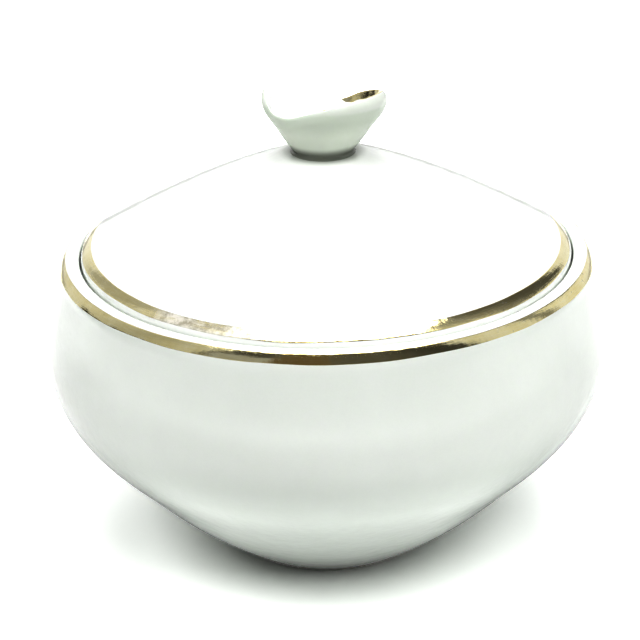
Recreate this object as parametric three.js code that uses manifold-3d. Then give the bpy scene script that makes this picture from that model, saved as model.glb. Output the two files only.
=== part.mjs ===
// Covered sugar bowl: a turned porcelain bowl with a lift-off lid that sits in
// a gallery inside the rim, a cast cup-shaped knob luted to the lid, and fired
// gilt lines on the rim, on the lid's edge and on the knob's right lip.
//
// Frame: millimetres, +Z up, origin at the centre of the foot ring's resting
// plane, -Y is the front.  Every turned piece is coaxial with Z.

import * as THREE from 'three';
import { mergeVertices } from 'three/addons/utils/BufferGeometryUtils.js';
import Module from 'manifold-3d';

const wasm = await Module();
wasm.setup();

// ---------------------------------------------------------------- dimensions
const BELLY_R = 60.03;         // widest radius of the bowl
const BELLY_Z = 46.5;          // height of the widest circle
const RIM_Z = 66.45;           // rim plane above the table
const RIM_OUT_R = 55.35;       // rim, outer edge of its white top
const RIM_IN_R = 52.5;         // rim, inner edge (mouth)
const FOOT_OUT_R = 21.55;      // foot ring, outer edge of the ground face
const FOOT_IN_R = 18.9;        // foot ring, inner edge of the ground face
const FOOT_RECESS = 1.6;       // hollow under the bowl, inside the foot ring
const FLOOR_Z = 5.5;           // inside floor of the bowl
const LEDGE_Z = 63.35;         // gallery the lid rests on
const LEDGE_R = 48.7;          // inner edge of the gallery

const SEAT_Z = LEDGE_Z + 0.3;  // lid seat, a small air gap above the gallery
const LID_R = 52.0;            // lid, largest radius
const LID_EDGE_Z = RIM_Z + 0.66;   // top of the lid's white edge
const DOME_R = 49.8;           // where the dome starts, above the gilt bevel
const DOME_Z = RIM_Z + 2.1;
const BOSS_R = 7.6;            // flat on the dome under the knob
const BOSS_Z = RIM_Z + 21.3;
const LID_WALL = 3.1;          // dome thickness
const FLANGE_OUT_R = 47.9;     // locating flange under the lid
const FLANGE_IN_R = 45.3;
const FLANGE_Z = 57.25;        // lower edge of the flange

const GILT = 0.3;              // thickness that stands in for the fired film
const FIT = 0.05;              // gap round each gilt inlay
const SEGMENTS = 48;           // facets round every turned piece

// ----------------------------------------------------------------- materials
const porcelain = (name) => new THREE.MeshStandardMaterial({
  name, color: 0xeef1ec, roughness: 0.12, metalness: 0.0 });
const gilding = (name) => new THREE.MeshStandardMaterial({
  name, color: 0xc9a85a, roughness: 0.22, metalness: 1.0 });

// ------------------------------------------------------------ profile helpers
const point = (radius, z) => new THREE.Vector2(radius, z);

// points along a smooth curve through [radius, z] stations
function smooth(stations, divisions) {
  const points = stations.map(([radius, z]) => point(radius, z));
  return new THREE.SplineCurve(points).getPoints(divisions);
}

// offset an open polyline to its left side
function offset(line, distance) {
  return line.map((here, i) => {
    const before = line[Math.max(0, i - 1)];
    const after = line[Math.min(line.length - 1, i + 1)];
    const along = after.clone().sub(before).normalize();
    return point(here.x - along.y * distance, here.y + along.x * distance);
  });
}

// lengthen an open polyline at both ends
function extend(line, distance) {
  const longer = line.map((here) => here.clone());
  const last = line.length - 1;
  for (const [end, neighbour] of [[0, 1], [last, last - 1]]) {
    const outward = line[end].clone().sub(line[neighbour]).normalize();
    longer[end].addScaledVector(outward, distance);
  }
  return longer;
}

// closed ring section of a gilt line lying flush in the surface `line`
const inlay = (line) => [...line, ...offset(line, GILT).reverse(), line[0]];

// the groove that receives it, as a replacement for that piece of profile
function groove(line) {
  const wide = extend(line, FIT);
  return [wide[0], ...offset(wide, GILT + FIT), wide[wide.length - 1]];
}

// --------------------------------------------------------------- mesh helpers
// keep positions only and share equal vertices, so the mesh closes
function weld(geometry) {
  geometry.deleteAttribute('normal');
  geometry.deleteAttribute('uv');
  return mergeVertices(geometry, 1e-4);
}

// remove triangles that welding has collapsed
function dropSlivers(geometry) {
  const source = geometry.index.array;
  const kept = [];
  for (let i = 0; i < source.length; i += 3) {
    const corners = source.slice(i, i + 3);
    if (new Set(corners).size === 3) kept.push(...corners);
  }
  geometry.setIndex(kept);
  return geometry;
}

// solid of revolution round Z
function turned(profile) {
  const lathe = new THREE.LatheGeometry(profile, SEGMENTS);
  lathe.rotateX(Math.PI / 2);
  return dropSlivers(weld(lathe));
}

// A closed surface made of one column of points for each angle round Z.
// section(angle) lists a column's points in the lathe profile's order.
function draped(segments, section) {
  const count = section(0).length;
  const placeholder = Array.from({ length: count }, (_, j) => point(1 + j, j));
  const lathe = new THREE.LatheGeometry(placeholder, segments);
  const positions = lathe.attributes.position;
  for (let i = 0; i <= segments; i += 1) {
    const angle = -Math.PI / 2 + (2 * Math.PI * (i % segments)) / segments;
    section(angle).forEach(({ x, y, z }, j) => positions.setXYZ(i * count + j, x, y, z));
  }
  return dropSlivers(weld(lathe));
}

function toManifold(geometry) {
  return new wasm.Manifold(new wasm.Mesh({
    numProp: 3,
    vertProperties: new Float32Array(geometry.attributes.position.array),
    triVerts: new Uint32Array(geometry.index.array),
  }));
}

function fromManifold(solid) {
  const mesh = solid.getMesh();
  const geometry = new THREE.BufferGeometry();
  geometry.setAttribute('position', new THREE.BufferAttribute(mesh.vertProperties, 3));
  geometry.setIndex(new THREE.BufferAttribute(mesh.triVerts, 1));
  return geometry;
}

function piece(name, geometry, material) {
  geometry.computeVertexNormals();
  const mesh = new THREE.Mesh(geometry, material);
  mesh.name = name;
  return mesh;
}

// -------------------------------------------------------------- table helpers
const toRadians = (degrees) => (degrees * Math.PI) / 180;
const toDegrees = (radians) => (radians * 180) / Math.PI;

// cubic Hermite value at x between `start` and `end`, with the end slopes
// taken from the neighbouring [x, y] pairs
function hermite([before, start, end, after], x) {
  const slope = (from, to) => (to[1] - from[1]) / (to[0] - from[0]);
  const span = end[0] - start[0];
  const t = Math.min(1, Math.max(0, (x - start[0]) / span));
  return (2 * t ** 3 - 3 * t ** 2 + 1) * start[1]
    + (t ** 3 - 2 * t ** 2 + t) * span * slope(before, end)
    + (-2 * t ** 3 + 3 * t ** 2) * end[1]
    + (t ** 3 - t ** 2) * span * slope(start, after);
}

// smooth curve through sorted [x, y] pairs, held level beyond both ends
function curveThrough(pairs) {
  const last = pairs.length - 1;
  return (x) => {
    let i = 0;
    while (i < last - 1 && x > pairs[i + 1][0]) i += 1;
    const near = [Math.max(0, i - 1), i, i + 1, Math.min(last, i + 2)];
    return hermite(near.map((k) => pairs[k]), x);
  };
}

// smooth periodic curve through sorted [degrees, value] pairs, the first at 0
function roundCurveThrough(pairs) {
  const pairAt = (k) => {
    const turns = Math.floor(k / pairs.length);
    const [x, y] = pairs[k - turns * pairs.length];
    return [x + 360 * turns, y];
  };
  return (degrees) => {
    const wrapped = ((degrees % 360) + 360) % 360;
    const i = pairs.findLastIndex(([x]) => x <= wrapped);
    return hermite([i - 1, i, i + 1, i + 2].map(pairAt), wrapped);
  };
}

// ---------------------------------------------------------------- bowl body
// All stations in the bowl and lid sections are [radius, z].

// gilt line on the rim's outer bevel, from its lower to its upper edge
const rimGilt = smooth([
  [56.73, RIM_Z - 1.72], [56.10, RIM_Z - 0.84], [RIM_OUT_R, RIM_Z - 0.06]], 3);

// outside wall, from the foot up to the gilt line
const bowlOutside = smooth([
  [FOOT_OUT_R + 0.6, 0.28], [27.16, 3.89], [32.07, 7.65], [36.77, 11.66],
  [41.23, 15.93], [45.58, 20.33], [49.93, 24.71], [53.97, 29.38], [57.25, 34.61],
  [59.37, 40.4], [BELLY_R, BELLY_Z], [59.27, 52.64], [57.99, 58.68],
  [56.78, RIM_Z - 1.92]], 18);

// inside wall, from the gallery down to the floor
const bowlInside = smooth([
  [LEDGE_R - 0.1, LEDGE_Z - 0.9], [49.2, 60.8], [52.6, 58.0], [55.4, 53.8],
  [56.9, 46.9], [56.4, 41.0], [54.6, 36.2], [51.2, 30.8], [46.1, 25.2],
  [40.3, 19.4], [33.5, 13.8], [26.0, 9.1], [17.0, 6.35]], 14);

const bowlProfile = [
  // recess and foot ring
  point(0, FOOT_RECESS), point(FOOT_IN_R - 1.3, FOOT_RECESS),
  point(FOOT_IN_R - 0.35, 0.35), point(FOOT_IN_R, 0),
  point(FOOT_OUT_R, 0), point(FOOT_OUT_R + 0.4, 0.07),
  ...bowlOutside,
  ...groove(rimGilt),
  // rounded rim
  point(54.8, RIM_Z + 0.16), point(53.9, RIM_Z + 0.2), point(53.0, RIM_Z + 0.06),
  point(RIM_IN_R, RIM_Z - 0.45),
  // gallery
  point(RIM_IN_R, LEDGE_Z + 0.5), point(RIM_IN_R - 0.45, LEDGE_Z),
  point(LEDGE_R + 0.35, LEDGE_Z), point(LEDGE_R, LEDGE_Z - 0.3),
  ...bowlInside,
  // floor
  point(8.5, FLOOR_Z + 0.08), point(0, FLOOR_Z),
];

// ---------------------------------------------------------------- lid shell
// gilt line on the lid's bevel, from its outer to its inner edge
const lidGilt = smooth([
  [51.72, LID_EDGE_Z], [50.83, RIM_Z + 1.42], [DOME_R, DOME_Z]], 3);

// top of the dome, from the gilt line in to the boss
const domeTop = smooth([
  [DOME_R, DOME_Z], [45.5, RIM_Z + 4.55], [38.0, RIM_Z + 8.45], [30.0, RIM_Z + 12.3],
  [22.0, RIM_Z + 15.9], [14.5, RIM_Z + 19.05], [BOSS_R + 0.4, BOSS_Z]], 9);

// underside of the dome, from near the axis out to the flange
const domeUnder = smooth([
  [12.0, RIM_Z + 19.6 - LID_WALL], [22.0, RIM_Z + 15.9 - LID_WALL],
  [30.0, RIM_Z + 12.3 - LID_WALL], [38.0, RIM_Z + 8.45 - LID_WALL - 0.35],
  [44.2, RIM_Z + 1.55]], 6);

const lidProfile = [
  point(0, RIM_Z + 20.9 - LID_WALL),
  ...domeUnder,
  // flange
  point(FLANGE_IN_R - 0.7, RIM_Z - 0.4), point(FLANGE_IN_R, FLANGE_Z + 0.7),
  point(FLANGE_IN_R + 0.5, FLANGE_Z), point(FLANGE_OUT_R - 0.7, FLANGE_Z),
  point(FLANGE_OUT_R - 0.1, FLANGE_Z + 0.6), point(FLANGE_OUT_R, SEAT_Z),
  // seat and outer edge
  point(LID_R - 0.6, SEAT_Z), point(LID_R - 0.1, SEAT_Z + 0.5),
  point(LID_R, RIM_Z - 0.9), point(LID_R - 0.03, RIM_Z + 0.1),
  ...groove(lidGilt),
  ...domeTop.slice(1),   // the groove's end replaces the first point
  point(BOSS_R - 0.3, BOSS_Z), point(0, BOSS_Z),
];

// ---------------------------------------------------------------- lid knob
// A thin-lipped cup on a round neck.  Its side is one flaring surface whose
// plan is an oval, and the lip is cut at a height that varies round it: a
// narrow peak at the left end, low beside it, and a broad raised lip at the
// right front.  Heights are measured from the knob's base.
const KNOB_SEGMENTS = 40;
const KNOB_BASE_Z = BOSS_Z + 0.05;
const KNOB_FLOOR = BOSS_Z + 4.6 - KNOB_BASE_Z;   // height of the cup's floor
const KNOB_NECK_R = 6.35;      // radius from which the side flares
const KNOB_BASE_FLARE = 0.25;  // widening of the neck at its base
const KNOB_REACH_RIGHT = 13.5; // cup reach to +X
const KNOB_REACH_LEFT = 12.6;  // cup reach to -X
const KNOB_REACH_SIDE = 9.8;   // cup reach to +Y and -Y
const KNOB_WALL = 1.2;         // cup wall just below the lip
const KNOB_LEAN = 0.3;         // growth of the wall a millimetre further down
const KNOB_LEAN_TO = 2.4;      // depth over which it grows so
const KNOB_LOW_LEAN = 0.1;     // growth a millimetre below that depth
const KNOB_LEAN_SHARE = 0.85;  // largest share of the inner face that leans
const INNER_TOP = 0.3;         // top of the inner face below the lip
const INNER_FOOT = 0.9;        // foot of the inner face above the floor
const FLOOR_EDGE_RISE = 0.45;  // rounding between inner face and floor
const FLOOR_EDGE_INSET = 1.9;  // its inset, added to KNOB_WALL
const FLOOR_FLAT = 0.45;       // reach of the flat floor, as a share of the side's
const FLOOR_DIP = 0.05;        // dip at the centre of the floor

// [degrees from +X towards +Y, height of the lip]
const lipHeight = roundCurveThrough([
  [0, 12.95], [12, 12.3], [25, 11.5], [40, 10.45], [58, 8.9], [80, 8.1],
  [105, 8.0], [130, 8.25], [148, 9.2], [160, 10.7], [170, 12.6], [180, 13.7],
  [189, 12.0], [198, 9.9], [210, 9.2], [225, 9.35], [245, 10.4], [270, 11.65],
  [287, 12.4], [305, 12.9], [322, 13.15], [338, 13.35], [350, 13.25]]);

// [height, share of the way from neck to full reach]
const flare = curveThrough([
  [0, 0], [0.7, 0.03], [2.2, 0.2], [4.0, 0.4], [5.7, 0.565], [7.4, 0.76],
  [9.1, 0.92], [11.0, 1.0], [12.6, 0.985], [14.6, 0.93]]);

// rows up the outer face, as shares of the lip height
const OUTER_STEPS = [0.05, 0.12, 0.24, 0.4, 0.56, 0.72, 0.86, 0.95];

// rounding of the lip's outer edge: [depth below the lip, inset]
const LIP_ROUNDING = [[0.35, 0.3], [0.06, 0.68], [0, 0.95]];

// radius of the oval plan at an angle
function reach(angle) {
  const cos = Math.cos(angle);
  const endReach = cos > 0 ? KNOB_REACH_RIGHT : KNOB_REACH_LEFT;
  return 1 / Math.sqrt((cos / endReach) ** 2 + (Math.sin(angle) / KNOB_REACH_SIDE) ** 2);
}

// point on the cup's outside, or inward of it
function side(angle, height, inward = 0) {
  const radius = KNOB_NECK_R + (reach(angle) - KNOB_NECK_R) * flare(height) - inward;
  return new THREE.Vector3(
    radius * Math.cos(angle), radius * Math.sin(angle), KNOB_BASE_Z + height);
}

// wall thickness at a depth down the inner face, which leans outwards as it rises
const wallAt = (depth) => KNOB_WALL + KNOB_LEAN * Math.min(depth, KNOB_LEAN_TO)
  + KNOB_LOW_LEAN * Math.max(0, depth - KNOB_LEAN_TO);

// depths at which the inner face bends, from its top to its foot
function bends(lip) {
  const drop = lip - INNER_TOP - (KNOB_FLOOR + INNER_FOOT);
  const lean = Math.min(KNOB_LEAN_TO, KNOB_LEAN_SHARE * drop);
  return [0, lean / 3, (2 * lean) / 3, lean, drop];
}

// point at a bend of the inner face, or inward of it
const bendPoint = (angle, lip, depth, inward = 0) => (
  side(angle, lip - INNER_TOP - depth, wallAt(depth) + inward));

// one column: base centre, up the outside, over the lip, down to the floor centre
function knobSection(angle) {
  const lip = lipHeight(toDegrees(angle));
  const { x, y } = side(angle, KNOB_FLOOR);
  const floorZ = KNOB_BASE_Z + KNOB_FLOOR;
  return [
    new THREE.Vector3(0, 0, KNOB_BASE_Z),
    side(angle, 0, -KNOB_BASE_FLARE),
    ...OUTER_STEPS.map((share) => side(angle, lip * share)),
    ...LIP_ROUNDING.map(([depth, inset]) => side(angle, lip - depth, inset)),
    ...bends(lip).map((depth) => bendPoint(angle, lip, depth)),
    side(angle, KNOB_FLOOR + FLOOR_EDGE_RISE, KNOB_WALL + FLOOR_EDGE_INSET),
    new THREE.Vector3(x * FLOOR_FLAT, y * FLOOR_FLAT, floorZ),
    new THREE.Vector3(0, 0, floorZ - FLOOR_DIP),
  ];
}

// ---------------------------------------------------------- knob gilt edge
// a tapering line on the inner face of the lip, from the middle of the front
// round the right end to the back right
const GILT_FROM = -93;         // ends of the line, degrees from +X towards +Y
const GILT_TO = 63;
const GILT_DEPTH = 0.05;       // upper edge below the top of the inner face
const KNOB_FIT = 0.1;          // gap between the cup's inner face and the line
const WEDGE_R = 40;            // wedge that cuts the line out of a full ring
const WEDGE_Z = 60;            // its underside
const WEDGE_HEIGHT = 60;

// [degrees, width down the inner face]
const giltWidth = curveThrough([
  [GILT_FROM, 0.35], [-60, 0.4], [-30, 0.5], [-8, 0.9], [12, 1.5], [30, 1.9],
  [46, 1.7], [56, 0.9], [GILT_TO, 0.4]]);

// point by the cup's inner face, straight between its bends as the cup's is
function innerFace(angle, lip, depth, inward) {
  const depths = bends(lip);
  const next = Math.max(1, depths.findIndex((bend) => bend >= depth));
  const [above, below] = [depths[next - 1], depths[next]];
  const upper = bendPoint(angle, lip, above, inward);
  const lower = bendPoint(angle, lip, below, inward);
  return upper.lerp(lower, (depth - above) / (below - above));
}

// the line stands on the same columns as the cup, so their faces run parallel
function giltSection(angle) {
  let degrees = toDegrees(angle);
  if (degrees > 180) degrees -= 360;
  const lip = lipHeight(degrees);
  const width = giltWidth(degrees);
  const face = (inward) => [0, 1 / 3, 2 / 3, 1].map(
    (share) => innerFace(angle, lip, GILT_DEPTH + width * share, inward));
  const ring = [...face(KNOB_FIT + GILT), ...face(KNOB_FIT).reverse()];
  return [...ring, ring[0]];
}

function knobGilt() {
  const arc = [GILT_FROM, -60, -30, 0, 30, GILT_TO].map((degrees) => {
    const angle = toRadians(degrees);
    return point(WEDGE_R * Math.cos(angle), WEDGE_R * Math.sin(angle));
  });
  const sector = new THREE.Shape([point(0, 0), ...arc]);
  const wedge = weld(new THREE.ExtrudeGeometry(
    sector, { depth: WEDGE_HEIGHT, bevelEnabled: false }));
  wedge.translate(0, 0, WEDGE_Z);
  const ring = toManifold(draped(KNOB_SEGMENTS, giltSection));
  return fromManifold(ring.intersect(toManifold(wedge)));
}

// ---------------------------------------------------------------- assembly
const bowl = new THREE.Group();
bowl.add(
  piece('bowl_body', turned(bowlProfile), porcelain('glazed_porcelain_bowl')),
  piece('bowl_gilt_band', turned(inlay(rimGilt)), gilding('gilt_bowl')),
);

const lid = new THREE.Group();
lid.add(
  piece('lid_shell', turned(lidProfile), porcelain('glazed_porcelain_lid')),
  piece('lid_gilt_band', turned(inlay(lidGilt)), gilding('gilt_lid')),
  piece('lid_knob', draped(KNOB_SEGMENTS, knobSection), porcelain('glazed_porcelain_knob')),
  piece('knob_gilt_edge', knobGilt(), gilding('gilt_knob')),
);

const group = new THREE.Group();
group.add(bowl, lid);

export default group;
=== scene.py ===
"""Covered sugar bowl: white glazed porcelain, a domed lid, a cup-shaped knob and gilt lines.

The bowl stands on its foot with its axis on Z; the camera looks from the front, -Y, and +X is
to its right. Shapes are given in millimetres and become metres when a mesh is made. Profiles
hold (radius, z) points, and angles round a piece are counted from +X towards the back. Shader
coordinates are in metres.
"""

import math

import bmesh
import bpy
import numpy as np
from mathutils import Matrix, Vector


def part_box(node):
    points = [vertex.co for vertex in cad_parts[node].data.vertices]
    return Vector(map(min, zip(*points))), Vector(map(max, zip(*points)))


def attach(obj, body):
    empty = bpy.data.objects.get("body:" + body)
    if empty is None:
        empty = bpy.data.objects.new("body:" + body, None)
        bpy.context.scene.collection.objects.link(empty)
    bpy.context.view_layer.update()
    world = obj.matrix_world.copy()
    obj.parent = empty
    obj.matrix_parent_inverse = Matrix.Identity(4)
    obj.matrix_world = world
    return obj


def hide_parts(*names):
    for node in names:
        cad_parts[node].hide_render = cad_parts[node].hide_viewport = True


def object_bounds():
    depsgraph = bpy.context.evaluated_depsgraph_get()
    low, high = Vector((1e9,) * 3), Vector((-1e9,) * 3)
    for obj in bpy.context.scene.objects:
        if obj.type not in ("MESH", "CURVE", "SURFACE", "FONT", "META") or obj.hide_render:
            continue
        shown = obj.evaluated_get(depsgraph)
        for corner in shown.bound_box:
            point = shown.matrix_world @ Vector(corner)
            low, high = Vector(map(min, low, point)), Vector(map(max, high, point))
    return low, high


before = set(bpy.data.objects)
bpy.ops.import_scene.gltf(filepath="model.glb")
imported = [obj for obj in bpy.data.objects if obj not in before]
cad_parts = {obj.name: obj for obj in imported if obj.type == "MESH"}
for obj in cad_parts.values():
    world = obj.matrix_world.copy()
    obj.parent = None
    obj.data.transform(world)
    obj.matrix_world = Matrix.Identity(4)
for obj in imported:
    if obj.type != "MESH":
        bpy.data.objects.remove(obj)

CAD_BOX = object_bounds()

MM = 0.001
TAU = 2.0 * math.pi


def box_mm(node):
    low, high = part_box(node)
    return [v / MM for v in low], [v / MM for v in high]


LID_LO, LID_HI = box_mm("lid_shell")
RIM_Z = box_mm("bowl_gilt_band")[1][2] + 0.06   # rim plane
LEDGE_Z = RIM_Z - 3.1                           # ledge inside the rim that carries the lid
SKIRT_Z = LID_LO[2]                             # lower edge of the lid's flange
BOSS_Z = LID_HI[2]                              # top of the lid, under the knob

# --------------------------------------------------------------------------
# curves
# --------------------------------------------------------------------------


def bspline(control, count):
    """count points of a clamped uniform cubic B-spline."""
    control = np.asarray(control, float)
    knots = np.concatenate([[0.0] * 3, np.linspace(0, 1, len(control) - 2), [1.0] * 3])
    out = []
    for u in np.linspace(0, 1, count):
        u = min(u, 1 - 1e-12)        # the last point still belongs to the last span
        span = int(np.searchsorted(knots, u, side="right") - 1)
        local = [control[j].copy() for j in range(span - 3, span + 1)]
        for level in range(1, 4):
            for j in range(3, level - 1, -1):
                i = j + span - 3
                weight = (u - knots[i]) / (knots[i + 4 - level] - knots[i])
                local[j] = (1 - weight) * local[j - 1] + weight * local[j]
        out.append(local[3])
    return np.array(out)


def natural(points, count):
    """count points of a natural cubic spline through the points, by chord length."""
    p = np.asarray(points, float)
    knots = np.concatenate([[0], np.cumsum(np.linalg.norm(np.diff(p, axis=0), axis=1))])
    size = len(p)
    h = np.diff(knots)
    matrix = np.zeros((size, size))
    rhs = np.zeros((size, p.shape[1]))
    matrix[0, 0] = matrix[-1, -1] = 1
    for i in range(1, size - 1):
        matrix[i, i - 1:i + 2] = h[i - 1], 2 * (h[i - 1] + h[i]), h[i]
        rhs[i] = 6 * ((p[i + 1] - p[i]) / h[i] - (p[i] - p[i - 1]) / h[i - 1])
    bend = np.linalg.solve(matrix, rhs)          # second derivatives
    out = []
    for u in np.linspace(0, knots[-1], count):
        i = min(max(int(np.searchsorted(knots, u, side="right")) - 1, 0), size - 2)
        x, y = u - knots[i], knots[i + 1] - u
        out.append(
            (bend[i] * y ** 3 + bend[i + 1] * x ** 3) / (6 * h[i])
            + (p[i] / h[i] - bend[i] * h[i] / 6) * y
            + (p[i + 1] / h[i] - bend[i + 1] * h[i] / 6) * x)
    return np.array(out)


def fillet(corners, steps):
    """Polyline with rounded corners; corners holds (radius, z, corner radius) rows."""
    points = [np.array(row[:2], float) for row in corners]
    out = [points[0]]
    for before, corner, after, row in zip(points, points[1:], points[2:], corners[1:]):
        to_before, to_after = before - corner, after - corner
        len_before, len_after = np.linalg.norm(to_before), np.linalg.norm(to_after)
        to_before, to_after = to_before / len_before, to_after / len_after
        half_angle = math.acos(float(to_before @ to_after)) / 2
        cut = min(row[2] / math.tan(half_angle), 0.48 * len_before, 0.48 * len_after)
        start, end = corner + to_before * cut, corner + to_after * cut
        for k in range(steps + 1):
            w = k / steps
            out.append((1 - w) ** 2 * start + 2 * w * (1 - w) * corner + w ** 2 * end)
    out.append(points[-1])
    return np.array(out)


def join(first, *others):
    """One line from several, each starting where the last one ends."""
    return np.concatenate([first] + [line[1:] for line in others])


def cubic_between(x, before, start, end, after):
    """Height at x on the smooth curve from start to end, (x, y) points; the points either
    side set its slopes."""
    (x0, y0), (x1, y1) = start, end
    h = x1 - x0
    slope0 = (y1 - before[1]) / (x1 - before[0])
    slope1 = (after[1] - y0) / (after[0] - x0)
    t = min(1, max(0, (x - x0) / h))
    return ((2 * t ** 3 - 3 * t ** 2 + 1) * y0 + (t ** 3 - 2 * t ** 2 + t) * h * slope0
            + (-2 * t ** 3 + 3 * t ** 2) * y1 + (t ** 3 - t ** 2) * h * slope1)


def drift(angle, *waves):
    """Slow wander round a circle: a sum of (amount, waves a turn, phase)."""
    return sum(amount * math.sin(n * angle + phase) for amount, n, phase in waves)


def flat_side(angle, centre, width):
    """1 at the centre azimuth (degrees), falling off smoothly either side."""
    off = (math.degrees(angle) - centre + 180.0) % 360.0 - 180.0
    return math.exp(-(off / width) ** 2)


def right_normals(line):
    """Unit normals to the right of the path."""
    t = np.gradient(np.asarray(line, float), axis=0)
    t /= np.linalg.norm(t, axis=1)[:, None]
    return np.stack([t[:, 1], -t[:, 0]], 1)


# --------------------------------------------------------------------------
# meshes
# --------------------------------------------------------------------------


def new_object(name, verts, faces, smooth=True):
    mesh = bpy.data.meshes.new(name)
    mesh.from_pydata([tuple(v) for v in verts], [], faces)
    mesh.validate()
    if smooth:
        mesh.polygons.foreach_set("use_smooth", [True] * len(mesh.polygons))
    mesh.update()
    obj = bpy.data.objects.new(name, mesh)
    bpy.context.scene.collection.objects.link(obj)
    return obj


def outward(obj):
    """Turns the faces outwards on a closed piece."""
    mesh = obj.data
    bm = bmesh.new()
    bm.from_mesh(mesh)
    bmesh.ops.recalc_face_normals(bm, faces=bm.faces[:])
    bm.to_mesh(mesh)
    bm.free()
    mesh.polygons.foreach_set("use_smooth", [True] * len(mesh.polygons))
    mesh.update()
    return obj


def grid_faces(rows, columns, wrap_rows=True, wrap_columns=True):
    """Quads over a grid of vertices numbered row by row."""
    faces = []
    for i in range(rows if wrap_rows else rows - 1):
        j = (i + 1) % rows
        for k in range(columns if wrap_columns else columns - 1):
            m = (k + 1) % columns
            faces.append((i * columns + k, j * columns + k, j * columns + m, i * columns + m))
    return faces


def revolve(name, profile, wobble, segments=256):
    """Revolves a profile that starts and ends on the axis. wobble(r, z, angle) returns a
    small (dr, dz), since hand-finished ware isn't perfect."""
    verts, faces, rows = [], [], []
    for r, z in profile:
        if r < 1e-6:
            rows.append([len(verts)])
            verts.append((0, 0, z * MM))
            continue
        rows.append(list(range(len(verts), len(verts) + segments)))
        for i in range(segments):
            angle = TAU * i / segments
            dr, dz = wobble(r, z, angle)
            verts.append((
                (r + dr) * math.cos(angle) * MM, (r + dr) * math.sin(angle) * MM,
                (z + dz) * MM))
    for low, high in zip(rows, rows[1:]):
        for i in range(segments):
            j = (i + 1) % segments
            if len(low) == 1:
                faces.append((low[0], high[j], high[i]))
            elif len(high) == 1:
                faces.append((low[i], low[j], high[0]))
            else:
                faces.append((low[i], low[j], high[j], high[i]))
    return new_object(name, verts, faces)


def ring(name, section, segments=288):
    """Closed strip right round the axis; section(angle) gives its closed (r, z) outline."""
    verts = []
    for i in range(segments):
        angle = TAU * i / segments
        outline = section(angle)
        verts += [(r * math.cos(angle) * MM, r * math.sin(angle) * MM, z * MM)
                  for r, z in outline]
    return outward(new_object(name, verts, grid_faces(segments, len(outline))))


def strip(name, outlines):
    """Strip through closed outlines of points, with a face over each end."""
    count = len(outlines[0])
    verts = [p * MM for outline in outlines for p in outline]
    faces = grid_faces(len(outlines), count, wrap_rows=False)
    faces.append(tuple(range(count)))
    faces.append(tuple(reversed(range(len(verts) - count, len(verts)))))
    return outward(new_object(name, verts, faces))


def draped(name, columns, low_tip, high_tip):
    """Closed mesh from columns of points set round the axis, with a point at each end."""
    segments, count = len(columns), len(columns[0])
    verts = [p * MM for column in columns for p in column]
    faces = grid_faces(segments, count, wrap_columns=False)
    low, high = len(verts), len(verts) + 1
    verts += [np.array(low_tip) * MM, np.array(high_tip) * MM]
    for i in range(segments):
        j = (i + 1) % segments
        faces.append((low, j * count, i * count))
        faces.append((high, i * count + count - 1, j * count + count - 1))
    return outward(new_object(name, verts, faces))


# --------------------------------------------------------------------------
# gilt film
# --------------------------------------------------------------------------

# stations across a film, close together at its edges
FILM_STEPS = np.array([
    0, 0.006, 0.018, 0.04, 0.09, 0.17, 0.26, 0.36, 0.46,
    0.54, 0.64, 0.74, 0.83, 0.91, 0.96, 0.982, 0.994, 1.0])
FILM_LIFT, FILM_DEPTH = 0.014, 0.12      # above the glaze, and into it


def film(line):
    """Closed outline of a film on a surface line that runs bottom to top."""
    normals = right_normals(line)
    to_edge = np.minimum(FILM_STEPS, 1 - FILM_STEPS)
    lift = FILM_LIFT * np.minimum(1, 25 * to_edge) ** 0.5
    return np.concatenate([line + normals * lift[:, None],
                           (line - normals * FILM_DEPTH)[::-1]])


def gilded_bevel(name, bevel, low_waves, high_waves, wobble, wobble_at):
    """Film over a bevel. The waves move its two edges; wobble, taken at one (r, z), keeps
    it on the glaze."""
    last = len(bevel) - 1

    def section(angle):
        start = drift(angle, *low_waves)
        end = 1.0 + 0.6 * drift(angle, *high_waves)
        along = (start + (end - start) * FILM_STEPS) * last
        base = np.clip(np.floor(along).astype(int), 0, last - 1)
        part = (along - base)[:, None]
        line = bevel[base] * (1 - part) + bevel[base + 1] * part
        return film(line + np.array(wobble(*wobble_at, angle)))

    return ring(name, section)


# --------------------------------------------------------------------------
# bowl
# --------------------------------------------------------------------------

# points where two stretches of the profile meet
FOOT_EDGE = (22.15, 0.28)
BOWL_BEVEL_LOW = (56.73, RIM_Z - 1.72)
BOWL_BEVEL_HIGH = (55.35, RIM_Z - 0.06)
LEDGE_EDGE = (48.62, LEDGE_Z - 0.9)

# the ground foot ring and the hollow under the bowl: (r, z, corner radius)
FOOT = fillet([
    (0, 1.55, 0), (17.3, 1.6, 0.8), (18.6, 0.12, 0.3), (19.1, 0.0, 0.3),
    (21.45, 0.0, 0.2), (21.9, 0.07, 0.2), (*FOOT_EDGE, 0)], steps=5)
WALL = bspline([
    FOOT_EDGE, (30.91, 6.46), (38.43, 12.93), (45.17, 20.03), (52.5, 27.06),
    (58.27, 35.21), (61.11, 46.49), (58.86, 54.27), BOWL_BEVEL_LOW], 90)
BOWL_BEVEL = natural([BOWL_BEVEL_LOW, (56.10, RIM_Z - 0.84), BOWL_BEVEL_HIGH], 14)
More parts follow.
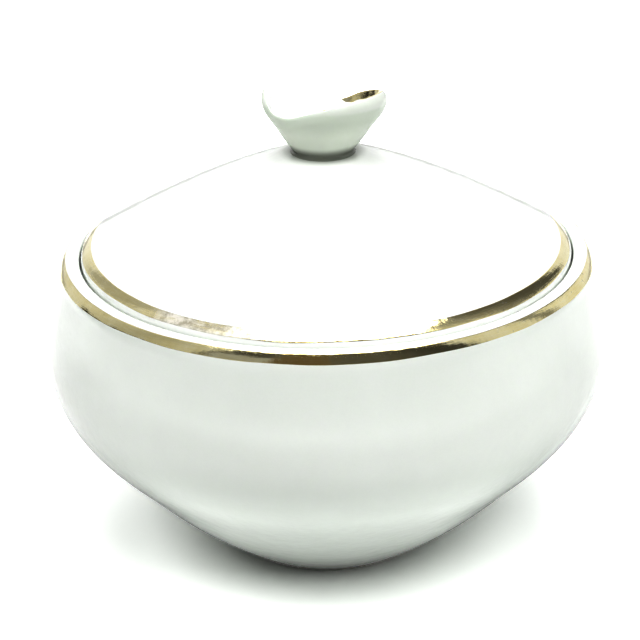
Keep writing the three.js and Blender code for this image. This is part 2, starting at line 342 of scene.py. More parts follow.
# over the rim and down to the ledge: (r, z, corner radius)
RIM_TOP = fillet([
    (*BOWL_BEVEL_HIGH, 0), (54.7, RIM_Z + 0.17, 0.8), (53.4, RIM_Z + 0.17, 0.9),
    (52.42, RIM_Z - 0.3, 0.7), (52.42, LEDGE_Z, 0.55), (48.85, LEDGE_Z, 0.45),
    (*LEDGE_EDGE, 0)], steps=8)
INSIDE = bspline([
    LEDGE_EDGE, (48.3, 60.3), (53.4, 58.2), (57.6, 51.9), (57.9, 44.0), (55.0, 35.3),
    (48.8, 27.4), (41.8, 20.4), (34.6, 13.3), (25.0, 7.6), (12.0, 5.35), (0.0, 5.5)], 100)
INSIDE[-1] = (0.0, INSIDE[-2][1])        # level at the axis


def bowl_wobble(r, z, angle):
    """Fired ware goes very slightly out of round, the mouth most; its left is flattened."""
    height = max(0.0, min(1.0, z / 66.0))
    mouth = max(0.0, min(1.0, (z - 54.0) / 9.0))
    mouth = mouth * mouth * (3 - 2 * mouth)
    return (drift(angle, (0.05 * height, 2, 0.6), (0.02 * height, 3, 2.1))
            - 0.5 * mouth * flat_side(angle, centre=184.0, width=38.0), 0.0)


bowl = revolve("bowl_porcelain", join(FOOT, WALL, BOWL_BEVEL, RIM_TOP, INSIDE), bowl_wobble)
bowl_gilt = gilded_bevel(
    "bowl_gilding", BOWL_BEVEL,
    low_waves=((0.03, 5, 0.3), (0.02, 11, 1.9), (0.012, 23, 4.0)),
    high_waves=((0.025, 4, 2.2), (0.02, 9, 0.4), (0.012, 27, 1.0)),
    wobble=bowl_wobble, wobble_at=(56.0, 66.0))

# --------------------------------------------------------------------------
# lid
# --------------------------------------------------------------------------

# points where two stretches of the profile meet
UNDER_EDGE = (43.0, RIM_Z + 2.0)
LID_BEVEL_LOW = (51.72, RIM_Z + 0.66)
LID_BEVEL_HIGH = (49.8, RIM_Z + 2.1)
CROWN_EDGE = (8.4, BOSS_Z - 0.1)

UNDER = natural([
    (0, BOSS_Z - 3.5), (12.0, RIM_Z + 16.6), (22.0, RIM_Z + 12.85), (30.0, RIM_Z + 9.2),
    (38.0, RIM_Z + 5.1), UNDER_EDGE], 36)
# flange inside the ledge, then the seat on it: (r, z, corner radius)
SKIRT = fillet([
    (*UNDER_EDGE, 0), (44.7, RIM_Z - 0.2, 2.5), (45.35, SKIRT_Z + 0.3, 0.6),
    (46.2, SKIRT_Z, 0.3), (47.0, SKIRT_Z, 0.3), (47.75, SKIRT_Z + 0.4, 0.6),
    (47.9, LEDGE_Z + 0.3, 0.35), (51.4, LEDGE_Z + 0.3, 0.5), (52.12, LEDGE_Z + 1.1, 0.9),
    (52.12, RIM_Z - 0.2, 1.2), (*LID_BEVEL_LOW, 0)], steps=7)
LID_BEVEL = natural([LID_BEVEL_LOW, (50.83, RIM_Z + 1.42), LID_BEVEL_HIGH], 14)
DOME = natural([
    LID_BEVEL_HIGH, (45.5, RIM_Z + 4.45), (38.0, RIM_Z + 8.4), (30.0, RIM_Z + 12.35),
    (22.0, RIM_Z + 15.95), (14.5, RIM_Z + 19.0), CROWN_EDGE], 60)
CROWN = natural([CROWN_EDGE, (7.0, BOSS_Z - 0.02), (3.0, BOSS_Z), (0, BOSS_Z)], 8)


def lid_wobble(r, z, angle):
    """Out of round and out of level towards the edge, and flattened at the left."""
    k = r / 52.0
    return (drift(angle, (0.04 * k, 2, 2.0), (0.02 * k, 3, 0.7))
            - 0.5 * k * flat_side(angle, centre=186.0, width=38.0),
            drift(angle, (0.05 * k, 2, 1.1)))


lid = revolve("lid_porcelain", join(UNDER, SKIRT, LID_BEVEL, DOME, CROWN), lid_wobble)
lid_gilt = gilded_bevel(
    "lid_gilding", LID_BEVEL,
    low_waves=((0.03, 5, 1.3), (0.02, 12, 0.9), (0.012, 21, 3.0)),
    high_waves=((0.025, 4, 0.2), (0.02, 10, 2.4), (0.012, 25, 0.0)),
    wobble=lid_wobble, wobble_at=(51.0, 67.0))

# --------------------------------------------------------------------------
# knob: one thin-lipped cup, cut obliquely; heights are above BOSS_Z
# --------------------------------------------------------------------------

NECK_R = 6.35
# half lengths of the cup's oval: right, left, and front or back
REACH_RIGHT, REACH_LEFT, REACH_SIDE = 13.5, 12.6, 9.8
CUP_FLOOR = 4.6
KNOB_SEGMENTS = 160
# (degrees, height of the lip)
LIP = [
    (0, 12.95), (12, 12.3), (25, 11.5), (40, 10.45), (58, 8.9), (80, 8.1),
    (105, 8.0), (130, 8.25), (148, 9.2), (160, 10.7), (170, 12.6), (180, 13.7),
    (189, 12.0), (198, 9.9), (210, 9.2), (225, 9.35), (245, 10.4), (270, 11.65),
    (287, 12.4), (305, 12.9), (322, 13.15), (338, 13.35), (350, 13.25)]
# (height, share of the way from the neck to the full oval)
FLARE = [
    (0, 0), (0.7, 0.03), (2.2, 0.2), (4.0, 0.4), (5.7, 0.565), (7.4, 0.76),
    (9.1, 0.92), (11.0, 1.0), (12.6, 0.985), (14.6, 0.93)]
# section of the lip, (inward, below the crest): a soft outer shoulder and a fine crest
LIP_SHOULDER = [
    (0.03, 1.9), (0.11, 1.35), (0.25, 0.85), (0.44, 0.45), (0.66, 0.17), (0.86, 0.03),
    (1.0, 0.0), (1.11, 0.06), (1.18, 0.24)]
CREST = LIP_SHOULDER.index((1.0, 0.0))
SHOULDER_DROP = LIP_SHOULDER[0][1]
# (degrees, slope of the inner face); it stands steeper at the back right
LIP_LEAN = [(0, 0.5), (20, 0.5), (35, 0.30), (58, 0.12), (110, 0.5), (360, 0.5)]
LEAN_DEPTH = 1.6                         # the slope fades over this depth
# glaze fillet where the neck meets the lid: (outwards, height)
NECK_FILLET = [(0.9, -0.35), (0.55, -0.05), (0.3, 0.15), (0.12, 0.4), (0.03, 0.75)]
# reach of the gilding from the crest: (degrees, outwards, inwards)
GILT_REACH = [
    (-93, 0.0, 0.03), (-85, 0.3, 0.14), (-66, 0.28, 0.18), (-52, 0.1, 0.2),
    (-30, 0.14, 0.3), (-8, 0.2, 0.8), (12, 0.2, 1.5), (30, 0.2, 1.9), (46, 0.16, 1.7),
    (56, 0.1, 0.9), (63, 0.0, 0.03)]
KNOB_FILM_LIFT, KNOB_FILM_DEPTH = 0.02, 0.1


def table_at(x, table, column=1):
    """Straight-line reading of one column of a table against its first."""
    return float(np.interp(x, [row[0] for row in table], [row[column] for row in table]))


def lip_height(angle):
    degrees = math.degrees(angle) % 360.0
    i = max(k for k in range(len(LIP)) if LIP[k][0] <= degrees)

    def station(k):
        turns, k = divmod(k, len(LIP))
        return LIP[k][0] + 360 * turns, LIP[k][1]

    return cubic_between(degrees, *(station(k) for k in range(i - 1, i + 3)))


def flare(z):
    last = len(FLARE) - 1
    i = 0
    while i < last - 1 and z > FLARE[i + 1][0]:
        i += 1
    return cubic_between(
        z, FLARE[max(0, i - 1)], FLARE[i], FLARE[i + 1], FLARE[min(last, i + 2)])


def cup_side(angle, z, inward=0.0):
    """Point on the cup's outer face, or inward of it."""
    c, s = math.cos(angle), math.sin(angle)
    reach_x = REACH_RIGHT if c > 0 else REACH_LEFT
    reach = 1 / math.sqrt((c / reach_x) ** 2 + (s / REACH_SIDE) ** 2)
    r = NECK_R + (reach - NECK_R) * flare(z) - inward
    return np.array([r * c, r * s, BOSS_Z + z])


def lip_fineness(angle):
    """1 for the full lip; the tip at the left is drawn out thinner."""
    return 1.0 - 0.45 * math.exp(-((math.degrees(angle) % 360.0 - 180.0) / 16.0) ** 2)


def lip_line(angle, depth):
    """(inward, z) points from the outer shoulder over the crest, then down the inner face
    by the given depth."""
    height = lip_height(angle)
    fineness = lip_fineness(angle)
    slope = table_at(math.degrees(angle) % 360.0, LIP_LEAN)
    points = [(inward * fineness, height - drop * fineness) for inward, drop in LIP_SHOULDER]
    inward, top = points[-1]
    for down in np.linspace(0.0, depth, 13)[1:]:
        lean = slope * LEAN_DEPTH * (1.0 - math.exp(-down / LEAN_DEPTH))
        points.append((inward + lean, top - down))
    return np.array(points)


def on_lip(angle, inward, z):
    p = cup_side(angle, min(z, lip_height(angle)), inward)
    p[2] = BOSS_Z + z
    return p


def knob_column(angle):
    """Points from the foot of the neck, over the lip and in along the cup's floor."""
    out = []
    for outwards, z in NECK_FILLET:
        p = cup_side(angle, max(z, 0.0), -outwards)
        p[2] = BOSS_Z + z
        out.append(p)
    shoulder = lip_height(angle) - SHOULDER_DROP * lip_fineness(angle)
    out += [cup_side(angle, shoulder * t) for t in np.linspace(0.08, 0.97, 24)]
    inner_depth = shoulder - (CUP_FLOOR + 1.3)
    out += [on_lip(angle, inward, z) for inward, z in lip_line(angle, inner_depth)]
    edge_x, edge_y, edge_z = out[-1]
    floor_z = BOSS_Z + CUP_FLOOR
    for k in range(1, 8):
        w = k / 8
        rise = 1 - math.sin(math.pi / 2 * min(1, w * 1.9))
        out.append(np.array([
            edge_x * (1 - w), edge_y * (1 - w), floor_z + (edge_z - floor_z) * rise]))
    return out


def knob_gilt_outline(angle):
    """Closed outline of the film over the lip's crest and inner face."""
    degrees = math.degrees(angle)
    outwards, inwards = table_at(degrees, GILT_REACH, 1), table_at(degrees, GILT_REACH, 2)
    uneven = drift(angle, (0.06, 7, 0.2), (0.035, 15, 1.1), (0.02, 31, 2.0))
    inwards += uneven * min(1.0, 3.0 * inwards)
    line = lip_line(angle, 3.2)
    lengths = np.linalg.norm(np.diff(line, axis=0), axis=1)
    along = np.concatenate([[0], np.cumsum(lengths)])
    along -= along[CREST]
    across = -outwards + (max(0.03, inwards) + outwards) * FILM_STEPS
    path = np.stack([np.interp(across, along, line[:, i]) for i in (0, 1)], 1)
    off_glaze = -right_normals(path)
    last = len(path) - 1
    top, under = [], []
    for k in range(last + 1):
        lift = KNOB_FILM_LIFT * min(1.0, 8 * min(k, last - k) / last)
        top.append(on_lip(angle, *(path[k] + off_glaze[k] * lift)))
        under.append(on_lip(angle, *(path[k] - off_glaze[k] * KNOB_FILM_DEPTH)))
    return top + under[::-1]


knob = draped(
    "knob_porcelain",
    [knob_column(TAU * i / KNOB_SEGMENTS) for i in range(KNOB_SEGMENTS)],
    low_tip=(0, 0, BOSS_Z - 0.5), high_tip=(0, 0, BOSS_Z + CUP_FLOOR))
knob_gilt = strip("knob_gilding", [
    knob_gilt_outline(angle)
    for angle in np.radians(np.linspace(GILT_REACH[0][0], GILT_REACH[-1][0], 120))])

# --------------------------------------------------------------------------
# node helper
# --------------------------------------------------------------------------


class Nodes:
    """Writes the node tree of a material or world. Inputs take a number, a tuple (colours
    without alpha) or another node's output."""

    DEGREES = 57.29578                   # in a radian

    def __init__(self, owner, output="ShaderNodeOutputMaterial"):
        self.owner = owner
        owner.use_nodes = True
        owner.node_tree.nodes.clear()
        self.output = self.add(output)

    def add(self, kind, inputs=None, **settings):
        node = self.owner.node_tree.nodes.new(kind)
        for key, value in settings.items():
            setattr(node, key, value)
        for key, source in (inputs or {}).items():
            socket = node.inputs[key]
            if isinstance(source, bpy.types.NodeSocket):
                self.owner.node_tree.links.new(source, socket)
            elif isinstance(source, tuple) and socket.type == "RGBA":
                socket.default_value = (*source, 1.0)
            else:
                socket.default_value = source
        return node

    def coords(self):
        return self.add("ShaderNodeTexCoord").outputs["Object"]

    def split(self, vector):
        return tuple(self.add("ShaderNodeSeparateXYZ", {0: vector}).outputs)

    def noise(self, vector, scale, detail, rough=0.5, distort=0.0):
        return self.add("ShaderNodeTexNoise", {
            "Vector": vector, "Scale": scale, "Detail": detail, "Roughness": rough,
            "Distortion": distort}).outputs["Fac"]

    def remap(self, value, span, to=(0.0, 1.0), smooth=False):
        return self.add(
            "ShaderNodeMapRange",
            {"Value": value, "From Min": span[0], "From Max": span[1],
             "To Min": to[0], "To Max": to[1]},
            interpolation_type="SMOOTHSTEP" if smooth else "LINEAR").outputs["Result"]

    def fade(self, value, full, gone):
        """1 at full, easing to 0 at gone."""
        return self.remap(value, (full, gone), (1.0, 0.0), smooth=True)

    def rise(self, value, start, full):
        """0 at start, easing to 1 at full."""
        return self.remap(value, (start, full), smooth=True)

    def math(self, operation, *operands):
        return self.add("ShaderNodeMath", dict(enumerate(operands)),
                        operation=operation).outputs[0]

    def times(self, a, b):
        return self.math("MULTIPLY", a, b)

    def plus(self, a, b):
        return self.math("ADD", a, b)

    def axis_distance(self, x, y):
        return self.math("SQRT", self.plus(self.times(x, x), self.times(y, y)))

    def front_azimuth(self, x, y):
        """Degrees from the front, -Y, positive to the right."""
        return self.times(self.math("ARCTAN2", x, self.times(y, -1.0)), self.DEGREES)

    def mix(self, factor, a, b):
        # sockets 6 and 7, and output 2, are the colour ones
        return self.add("ShaderNodeMix", {0: factor, 6: a, 7: b}, data_type="RGBA").outputs[2]

    def bump(self, height, strength, distance, base=None):
        inputs = {"Strength": strength, "Distance": distance, "Height": height}
        if base is not None:
            inputs["Normal"] = base
        return self.add("ShaderNodeBump", inputs).outputs["Normal"]

    def ramp(self, position, stops, interpolation="LINEAR"):
        """Grey ramp; stops are (position 0 to 1, value)."""
        node = self.add("ShaderNodeValToRGB", {0: position})
        node.color_ramp.interpolation = interpolation
        elements = node.color_ramp.elements
        while len(elements) < len(stops):
            elements.new(1.0)
        for element, (place, value) in zip(elements, stops):
            element.position = place
            element.color = (value, value, value, 1.0)
        return node.outputs[0]

    def finish(self, shader):
        self.owner.node_tree.links.new(shader.outputs[0], self.output.inputs["Surface"])
        return self.owner


# --------------------------------------------------------------------------
# porcelain
# --------------------------------------------------------------------------

NOISE_MID = (0.3, 0.7)                   # the range that noise mostly fills
IRON = (0.30, 0.27, 0.22)
BARE_CLAY = (0.66, 0.63, 0.56)
CREVICE_SHADE_TINT = (0.60, 0.66, 0.58)              # tint of the painted shade in the angles, times the body colour


def glaze_tone(t, coords, cloud, body):
    """Body colour, faintly varied by clouds, upright streaks and grain."""
    stretched = t.add("ShaderNodeMapping", {"Vector": coords, "Scale": (1.0, 1.0, 0.25)})
    streak = t.noise(stretched.outputs[0], scale=130.0, detail=3.0, distort=0.4)
    grain = t.noise(coords, scale=2600.0, detail=2.0, rough=0.6)
    tone = t.plus(t.remap(cloud, NOISE_MID, (-0.012, 0.012)),
                  t.remap(streak, NOISE_MID, (-0.006, 0.006)))
    tone = t.plus(tone, t.remap(grain, NOISE_MID, (-0.006, 0.006)))
    return t.add("ShaderNodeHueSaturation",
                 {"Color": body, "Value": t.plus(tone, 1.0)}).outputs[0]


def cup_inside(t, coords_x, coords_y):
    """1 where the surface faces the axis."""
    normal = t.split(t.add("ShaderNodeNewGeometry").outputs["Normal"])
    outwards = t.plus(t.times(normal[0], coords_x), t.times(normal[1], coords_y))
    return t.fade(outwards, full=-0.0012, gone=0.0006)


def iron_specks(t, coords):
    """Rare round specks, a few tenths of a millimetre across."""
    cells = t.add("ShaderNodeTexVoronoi", {"Vector": coords, "Scale": 170.0})
    pick = t.add("ShaderNodeSeparateColor", {0: cells.outputs["Color"]})
    rare = t.remap(pick.outputs[0], (0.972, 0.985))
    dot = t.fade(cells.outputs["Distance"], full=0.012, gone=0.03)
    return t.times(rare, dot)


def glaze_bump(t, coords, speck):
    """Orange peel, a finer ripple, and relief at the specks."""
    peel = t.noise(coords, scale=330.0, detail=2.0)
    fine = t.noise(coords, scale=1500.0, detail=2.0)
    bump = t.bump(peel, strength=0.10, distance=0.0006)
    bump = t.bump(fine, strength=0.05, distance=0.0001, base=bump)
    return t.bump(t.times(speck, 1.0), strength=0.3, distance=0.0001, base=bump)


def porcelain(name, body, painted_shading_by_height=(), inner=None, painted_neck_shadow=None, bare_foot=False):
    """Clear-glazed white porcelain. body is its linear colour. Bands by height are painted
    shade and painted light, each (z where full, z where gone, amount, colour) in mm; a ring by
    distance from the axis, on the lid's upper face only, is painted shade of the same form;
    the inner colour is painted light that whitens the inside of a cup; bare_foot stops the
    glaze short of the foot ring."""
    t = Nodes(bpy.data.materials.new(name))
    coords = t.coords()
    x, y, z = t.split(coords)
    cloud = t.noise(coords, scale=38.0, detail=4.0, rough=0.55)
    colour = glaze_tone(t, coords, cloud, body)
    if inner:
        inside = cup_inside(t, x, y)
    speck = iron_specks(t, coords)
    colour = t.mix(t.times(speck, 0.5), colour, IRON)

    # painted shade in the angles and creases, from ambient occlusion: darker and greener
    crevice = t.add("ShaderNodeAmbientOcclusion", {"Distance": 0.007}, samples=8)
    shade = t.times(t.fade(crevice.outputs["AO"], full=0.35, gone=0.95), 0.12)
    colour = t.mix(shade, colour, tuple(c * k for c, k in zip(body, CREVICE_SHADE_TINT)))
    # painted shade and painted light, in bands by height
    for full, gone, amount, tint in painted_shading_by_height:
        near = t.fade(z, full * MM, gone * MM)
        colour = t.mix(t.times(near, amount), colour, tint)
    # painted light: the inside of a cup is whitened
    if inner:
        colour = t.mix(inside, colour, inner)
    # painted shade: a dark ring round the foot of the knob, on the lid's upper face
    if painted_neck_shadow:
        full, gone, amount, tint = painted_neck_shadow
        near = t.times(t.fade(t.axis_distance(x, y), full * MM, gone * MM),
                       t.remap(z, ((BOSS_Z - 2.6) * MM, (BOSS_Z - 2.0) * MM)))
        colour = t.mix(t.times(near, amount), colour, tint)

    rough = t.remap(cloud, NOISE_MID, (0.055, 0.10))
    if bare_foot:
        bare = t.remap(z, (0.00012, 0.00045), (1.0, 0.0))
        colour = t.mix(bare, colour, BARE_CLAY)
        rough = t.plus(t.times(bare, 0.55), rough)

    return t.finish(t.add("ShaderNodeBsdfPrincipled", {
        "Base Color": colour,
        "Roughness": rough,
        "Normal": glaze_bump(t, coords, speck),
        "IOR": 1.5,
        "Subsurface Weight": 0.12,
        "Subsurface Radius": (0.0016, 0.0018, 0.0014),
        "Subsurface Scale": 1.0,
        "Coat Weight": 0.25,
        "Coat Roughness": 0.03,
        "Coat IOR": 1.45}))


# --------------------------------------------------------------------------
# gilding
# --------------------------------------------------------------------------

GOLD_DEEP, GOLD_LIGHT = (0.88, 0.80, 0.48), (0.94, 0.88, 0.60)
GOLD_BRUSHED, GOLD_GRAZING = (0.96, 0.92, 0.72), (0.93, 0.93, 0.83)
GLAZE_UNDER_GOLD = (0.80, 0.78, 0.68)
RUBBED_PALE, RUBBED_GREY = (0.80, 0.78, 0.74), (0.42, 0.40, 0.35)


def gilding(name, worn=None):
    """Burnished fired gold over glaze: brush lines round the axis, thin spots that let the
    glaze through, and slightly uneven tone. worn is a rubbed stretch, (from, to) in degrees
    from +X, mottled pale and grey."""
    t = Nodes(bpy.data.materials.new(name))
    coords = t.coords()
    x, y, z = t.split(coords)
    # polar coordinates, so the brush marks run along the line
    radius = t.axis_distance(x, y)
    theta = t.math("ARCTAN2", y, x)
    polar = t.add("ShaderNodeCombineXYZ", {
        0: t.times(radius, 1000.0), 1: t.times(theta, 6.0), 2: t.times(z, 1000.0)}).outputs[0]
    brush = t.noise(polar, scale=3.2, detail=4.0, rough=0.6)
    blot = t.noise(coords, scale=210.0, detail=3.0, rough=0.55)
    fine = t.noise(coords, scale=1700.0, detail=3.0, rough=0.6)

    colour = t.mix(t.remap(blot, NOISE_MID), GOLD_DEEP, GOLD_LIGHT)
    colour = t.mix(t.times(t.remap(brush, (0.45, 0.75)), 0.4), colour, GOLD_BRUSHED)
    facing = t.add("ShaderNodeLayerWeight", {"Blend": 0.5}).outputs["Facing"]
    grazing = t.remap(facing, (0.55, 0.95), (0.0, 0.65), smooth=True)
    colour = t.mix(grazing, colour, GOLD_GRAZING)
    rough = t.plus(t.remap(brush, NOISE_MID, (0.045, 0.11)),
                   t.remap(fine, NOISE_MID, (-0.02, 0.03)))
    bump = t.bump(brush, strength=0.10, distance=0.0002)
    bump = t.bump(blot, strength=0.12, distance=0.0006, base=bump)
    gold = t.add("ShaderNodeBsdfPrincipled", {
        "Base Color": colour, "Metallic": 1.0, "Roughness": rough, "Normal": bump})
    glaze = t.add("ShaderNodeBsdfPrincipled", {
        "Base Color": GLAZE_UNDER_GOLD, "Roughness": 0.12})

    wear = t.noise(coords, scale=520.0, detail=5.0, rough=0.65)
    patch = t.noise(coords, scale=60.0, detail=2.0)
    thin = t.times(t.rise(wear, start=0.60, full=0.72), t.rise(patch, start=0.50, full=0.66))
    if worn:
        start, end = worn
        soft = 4.0                       # degrees either side of each end
        degrees = t.times(theta, t.DEGREES)
        stretch = t.times(t.rise(degrees, start - soft, start + soft),
                          t.fade(degrees, end - soft, end + soft))
        smear = t.noise(polar, scale=1.1, detail=5.0, rough=0.7, distort=0.6)
        rub = t.remap(smear, (0.30, 0.50), (0.40, 1.0), smooth=True)
        thin = t.math("MAXIMUM", thin, t.times(stretch, rub))
        mottle = t.noise(coords, scale=430.0, detail=5.0, rough=0.7)
        tone = t.rise(mottle, start=0.40, full=0.62)
        t.owner.node_tree.links.new(t.mix(tone, RUBBED_PALE, RUBBED_GREY),
                                    glaze.inputs["Base Color"])
    return t.finish(t.add("ShaderNodeMixShader", {
        0: t.times(thin, 0.8), 1: gold.outputs[0], 2: glaze.outputs[0]}))


# --------------------------------------------------------------------------
# each piece: its material, what it rides on and what it replaces
# --------------------------------------------------------------------------

# painted shade: darker and greener below the belly and darkest at the foot where it meets the
# floor; painted light: the rim's top is whiter
bowl.data.materials.append(porcelain(
    "glazed_porcelain_bowl", body=(0.838, 0.870, 0.828), bare_foot=True,
    painted_shading_by_height=((24.0, 48.0, 0.7, (0.785, 0.85, 0.78)),
           (1.0, 7.0, 0.62, (0.45, 0.49, 0.43)),
           (RIM_Z - 0.08, RIM_Z - 0.30, 1.0, (0.90, 0.905, 0.89)))))
# painted light: the lid's body is lighter than the bowl's, though both are one porcelain;
# painted shade: the dark ring round the knob's foot
lid.data.materials.append(porcelain(
    "glazed_porcelain_lid", body=(0.905, 0.92, 0.895),
    painted_neck_shadow=(6.3, 9.6, 0.62, (0.30, 0.33, 0.28))))
# painted shade: the knob's body is a little darker than the bowl's, with darker bands under
# the lip and down the body and a near black one at the neck; painted light: the inside of the
# cup is whitened
knob.data.materials.append(porcelain(
    "glazed_porcelain_knob", body=(0.815, 0.85, 0.79), inner=(0.95, 0.955, 0.94),
    painted_shading_by_height=((BOSS_Z + 10.9, BOSS_Z + 12.4, 0.45, (0.65, 0.685, 0.64)),
           (BOSS_Z + 10.3, BOSS_Z + 11.2, 0.75, (0.645, 0.705, 0.615)),
           (BOSS_Z + 5.0, BOSS_Z + 9.0, 0.75, (0.82, 0.868, 0.785)),
           (BOSS_Z + 0.6, BOSS_Z + 2.9, 0.95, (0.185, 0.20, 0.165)))))
bowl_gilt.data.materials.append(gilding("fired_gold_bowl"))
lid_gilt.data.materials.append(gilding("fired_gold_lid", worn=(-130.5, -103.5)))
knob_gilt.data.materials.append(gilding("fired_gold_knob"))

for piece, body, node, slot in (
        (bowl, "bowl", "bowl_body", "bowl_porcelain"),
        (bowl_gilt, "bowl", "bowl_gilt_band", "bowl_gilding"),
        (lid, "lid", "lid_shell", "lid_porcelain"),
        (lid_gilt, "lid", "lid_gilt_band", "lid_gilding"),
        (knob, "lid", "lid_knob", "knob_porcelain"),
        (knob_gilt, "lid", "knob_gilt_edge", "knob_gilding")):
    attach(piece, body)
    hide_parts(node)

# --------------------------------------------------------------------------
# floor
# --------------------------------------------------------------------------

FLOOR_HALF = 6.0                         # metres
ALBEDO_TO_LIGHT, ALBEDO_TO_CAMERA = 0.80, 1.45
GLOW_SPAN = 400.0                        # mm from the axis covered by the two tables below
# (mm from the axis, glow): in front of the foot, and all round
GLOW_AHEAD = [
    (0, 0.0), (30, 0.25), (37, 0.55), (43, 0.75), (48, 1.15), (54, 1.35), (60, 1.20),
    (68, 0.70), (80, 0.30), (105, 0.38), (160, 0.25), (220, 0.0)]
GLOW_AROUND = [
    (0, 0.0), (70, 0.0), (90, 0.38), (115, 0.34), (160, 0.25), (255, 0.1),
    (340, 0.45), (400, 0.6)]


def floor_glow(t, x, y, radius, is_glossy):
    """Painted reflection: the floor glows to mirror rays only, as the lit sheet the glaze
    mirrors, brightest just in front of the foot.
    """
    off_front = t.math("ABSOLUTE", t.front_azimuth(x, y))
    front = t.fade(off_front, full=40.0, gone=85.0)
    ahead, around = (
        t.ramp(t.times(radius, 1000.0 / GLOW_SPAN), [(mm / GLOW_SPAN, v) for mm, v in table],
               "B_SPLINE")
        for table in (GLOW_AHEAD, GLOW_AROUND))
    back = t.rise(y, start=0.03, full=0.12)
    behind = t.times(back, 0.45)
    # a ray that skims the sheet sees less of this than one that looks down on it,
    # so the bowl keeps its outline when it is seen from table height
    incoming = t.split(t.add("ShaderNodeNewGeometry").outputs["Incoming"])
    dip = t.math("ABSOLUTE", incoming[2])
    steep = t.rise(dip, start=0.38, full=0.62)
    skim = t.math("MAXIMUM", t.remap(dip, (0.07, 0.155), (0.30, 1.0), smooth=True),
                  t.times(t.remap(dip, (0.045, 0.085), (0.30, 1.0), smooth=True), back))
    glow = t.plus(t.times(t.times(ahead, front), steep),
                  t.times(t.plus(around, behind), skim))
    return t.times(glow, is_glossy)


def floor_material():
    """Pale mottled sheet that burns out to white away from the bowl."""
    t = Nodes(bpy.data.materials.new("pale_floor"))
    coords = t.coords()
    x, y, _ = t.split(coords)
    ray = t.add("ShaderNodeLightPath").outputs
    mottle = t.remap(t.noise(coords, scale=9.0, detail=3.0), NOISE_MID, (0.985, 1.0))
    albedo = t.mix(ray["Is Camera Ray"], (ALBEDO_TO_LIGHT,) * 3, (ALBEDO_TO_CAMERA,) * 3)
    colour = t.add("ShaderNodeHueSaturation", {"Color": albedo, "Value": mottle}).outputs[0]
    sheet = t.add("ShaderNodeBsdfDiffuse", {"Color": colour})
    radius = t.axis_distance(x, y)
    glow = floor_glow(t, x, y, radius, ray["Is Glossy Ray"])
    burnt = t.times(t.rise(radius, start=0.13, full=0.24), ray["Is Camera Ray"])
    light = t.add("ShaderNodeEmission", {"Strength": t.plus(glow, burnt)})
    return t.finish(t.add("ShaderNodeAddShader", {0: sheet.outputs[0], 1: light.outputs[0]}))


floor = new_object(
    "floor",
    [(sx * FLOOR_HALF, sy * FLOOR_HALF, 0) for sx, sy in ((-1, -1), (1, -1), (1, 1), (-1, 1))],
    [(0, 1, 2, 3)], smooth=False)
floor.location.z = CAD_BOX[0][2]
floor.data.materials.append(floor_material())

# --------------------------------------------------------------------------
# world: the studio as glossy surfaces mirror it, dim to the light, white to the camera
# --------------------------------------------------------------------------

# (degrees from the front, positive to the right; brightness)
# lower belt: dark camera side in front, pale walls at the sides
LOWER_BELT = [
    (-180, 1.3), (-158, 1.1), (-146, 0.86), (-134, 0.86), (-122, 0.80), (-108, 0.66),
    (-92, 0.56), (-74, 0.66), (-60, 0.70), (-58, 0.15), (-40, 0.16), (-26, 0.22),
    (-15, 0.24), (0, 0.23), (14, 0.20), (30, 0.20), (52, 0.12), (68, 0.13), (69, 0.78),
    (92, 0.84), (101, 0.80), (104, 0.34), (109, 0.46), (112, 0.92), (136, 0.95),
    (158, 1.1), (180, 1.3)]
# upper belt: opens to the bright ceiling, with a dark opening at the back right
UPPER_BELT = [
    (-180, 1.3), (-152, 1.0), (-146, 0.86), (-141, 0.56), (-133, 0.62), (-123, 0.58),
    (-113, 0.84), (-101, 0.90), (-86, 1.0), (-76, 2.4), (-62, 4.0), (0, 4.0), (71, 4.0),
    (77, 0.90), (83, 0.52), (104, 0.42), (113, 0.33), (123, 0.22), (135, 0.17),
    (139, 0.20), (141, 0.90), (152, 1.0), (180, 1.3)]
BELT_PEAK = 4.0
# (degrees either way from the front, elevation where the belts meet)
BELT_DIVIDE = [
    (0, 70.8), (25, 70.3), (36, 68.6), (46, 66.3), (57, 63.6), (69, 60.0), (80, 56.2),
    (92, 50.8), (103, 43.0), (118, 31.0), (135, 18.0), (150, 5.0), (180, 0.0)]


def grey(value):
    return (value, value, value * 0.985)


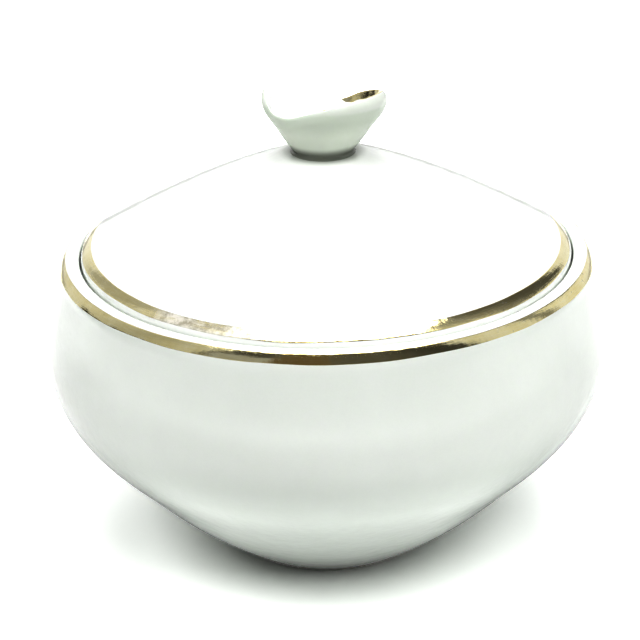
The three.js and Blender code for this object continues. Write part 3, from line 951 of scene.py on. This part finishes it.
def studio_world():
    t = Nodes(bpy.data.worlds.new("studio"), "ShaderNodeOutputWorld")
    x, y, z = t.split(t.add("ShaderNodeTexCoord").outputs["Generated"])
    elevation = t.times(t.math("ARCSINE", z), t.DEGREES)
    azimuth = t.front_azimuth(x, y)

    def zone(centre, half, soft):
        """1 inside a patch of directions; centre and half are (azimuth, elevation)."""
        off = [t.math("ABSOLUTE", t.math("SUBTRACT", value, middle))
               for value, middle in zip((azimuth, elevation), centre)]
        return t.times(*(t.fade(o, h - soft / 2, h + soft / 2) for o, h in zip(off, half)))

    def belt(table):
        stops = [((deg + 180.0) / 360.0, value / BELT_PEAK) for deg, value in table]
        return t.times(t.ramp(t.remap(azimuth, (-180.0, 180.0)), stops), BELT_PEAK)

    lower, upper = belt(LOWER_BELT), belt(UPPER_BELT)
    turn = t.math("ABSOLUTE", azimuth)
    divide = t.times(t.ramp(t.math("DIVIDE", turn, 180.0),
                            [(deg / 180.0, value / 90.0) for deg, value in BELT_DIVIDE]), 90.0)
    # a paler patch of wall low on the left and a warm one in front of the bowl
    pale = zone(centre=(-41, 25), half=(15.5, 26), soft=3.0)
    lower = t.mix(pale, lower, (0.50, 0.51, 0.56))
    warm = t.times(zone(centre=(-11, 45), half=(14.5, 45), soft=4.0), 0.8)
    lower = t.mix(warm, lower, (0.255, 0.20, 0.125))
    is_upper = t.rise(t.math("SUBTRACT", elevation, divide), start=-1.3, full=1.3)
    mirrored = t.mix(is_upper, lower, upper)

    # bright overhead at either side, and two dark patches low on the left
    right = t.rise(azimuth, start=58.0, full=62.0)
    left = t.fade(azimuth, full=-62.0, gone=-58.0)
    for mask, value in (
            (t.times(t.rise(elevation, start=63.0, full=66.0), right), 5.0),
            (t.times(t.rise(elevation, start=68.0, full=72.0), left), 5.0),
            (zone(centre=(-80, 6), half=(20, 13), soft=3.0), 0.04),
            (zone(centre=(-108, 3), half=(12, 9.5), soft=3.0), 0.04)):
        mirrored = t.mix(mask, mirrored, grey(value))

    ray = t.add("ShaderNodeLightPath").outputs
    colour = t.mix(ray["Is Glossy Ray"], grey(0.05), mirrored)
    colour = t.mix(ray["Is Camera Ray"], colour, (1.0, 1.0, 1.0))
    return t.finish(t.add("ShaderNodeBackground", {"Color": colour, "Strength": 1.0}))


scene = bpy.context.scene
scene.world = studio_world()

# --------------------------------------------------------------------------
# softboxes; mirror rays see the studio instead of them
# --------------------------------------------------------------------------

LIGHT_AIM = Vector((0, 0, 0.04))
# (azimuth from the front, elevation, distance in m, diameter in m, radiance)
SOFTBOXES = [
    (0, 87, 1.20, 1.05, 1.95),
    (-70, 50, 1.10, 0.50, 6.60),
    (-25, 50, 1.10, 0.50, 1.90),
    (20, 50, 1.10, 0.50, 5.50),
    (65, 50, 1.10, 0.50, 4.40),
    (-70, 22, 1.10, 0.50, 1.50),
    (65, 22, 1.10, 0.50, 3.30),
    (180, 60, 1.10, 0.70, 2.80)]


def softbox(azimuth, elevation, distance, diameter, radiance):
    name = f"softbox_{azimuth}_{elevation}"
    data = bpy.data.lights.new(name, "AREA")
    data.shape = "DISK"
    data.size = diameter
    data.energy = radiance * math.pi * (math.pi * (diameter / 2) ** 2)
    az, el = math.radians(azimuth), math.radians(elevation)
    direction = Vector((
        math.cos(el) * math.sin(az), -math.cos(el) * math.cos(az), math.sin(el)))
    obj = bpy.data.objects.new(name, data)
    scene.collection.objects.link(obj)
    obj.location = LIGHT_AIM + direction * distance
    obj.rotation_euler = (-direction).to_track_quat("-Z", "Y").to_euler()
    obj.visible_glossy = False


for row in SOFTBOXES:
    softbox(*row)

# --------------------------------------------------------------------------
# camera: looks down on the rim from the front
# --------------------------------------------------------------------------

CAMERA_ELEVATION = math.radians(21.828)
CAMERA_ROLL = math.radians(-1.0125)
CAMERA_DISTANCE = 0.480                  # metres from the rim's centre
AIM_FROM_RIM = Vector((-1.27, 0, -17.31)) * MM


def add_camera():
    rim = Vector((0, 0, RIM_Z * MM))
    place = rim + CAMERA_DISTANCE * Vector(
        (0, -math.cos(CAMERA_ELEVATION), math.sin(CAMERA_ELEVATION)))
    forward = (rim + AIM_FROM_RIM - place).normalized()
    level_right = forward.cross(Vector((0, 0, 1))).normalized()
    level_up = level_right.cross(forward)
    c, s = math.cos(CAMERA_ROLL), math.sin(CAMERA_ROLL)
    right = level_right * c + level_up * s
    up = level_up * c - level_right * s
    data = bpy.data.cameras.new("camera")
    data.sensor_width = 36.0
    data.lens = 127.08
    data.clip_start = 0.01
    data.clip_end = 50.0
    obj = bpy.data.objects.new("camera", data)
    scene.collection.objects.link(obj)
    matrix = Matrix((right, up, -forward)).transposed().to_4x4()
    matrix.translation = place
    obj.matrix_world = matrix
    scene.camera = obj


add_camera()

# bright, contrasty view
scene.view_settings.view_transform = "Standard"
scene.view_settings.look = "None"
scene.view_settings.exposure = -0.05
scene.view_settings.gamma = 0.62
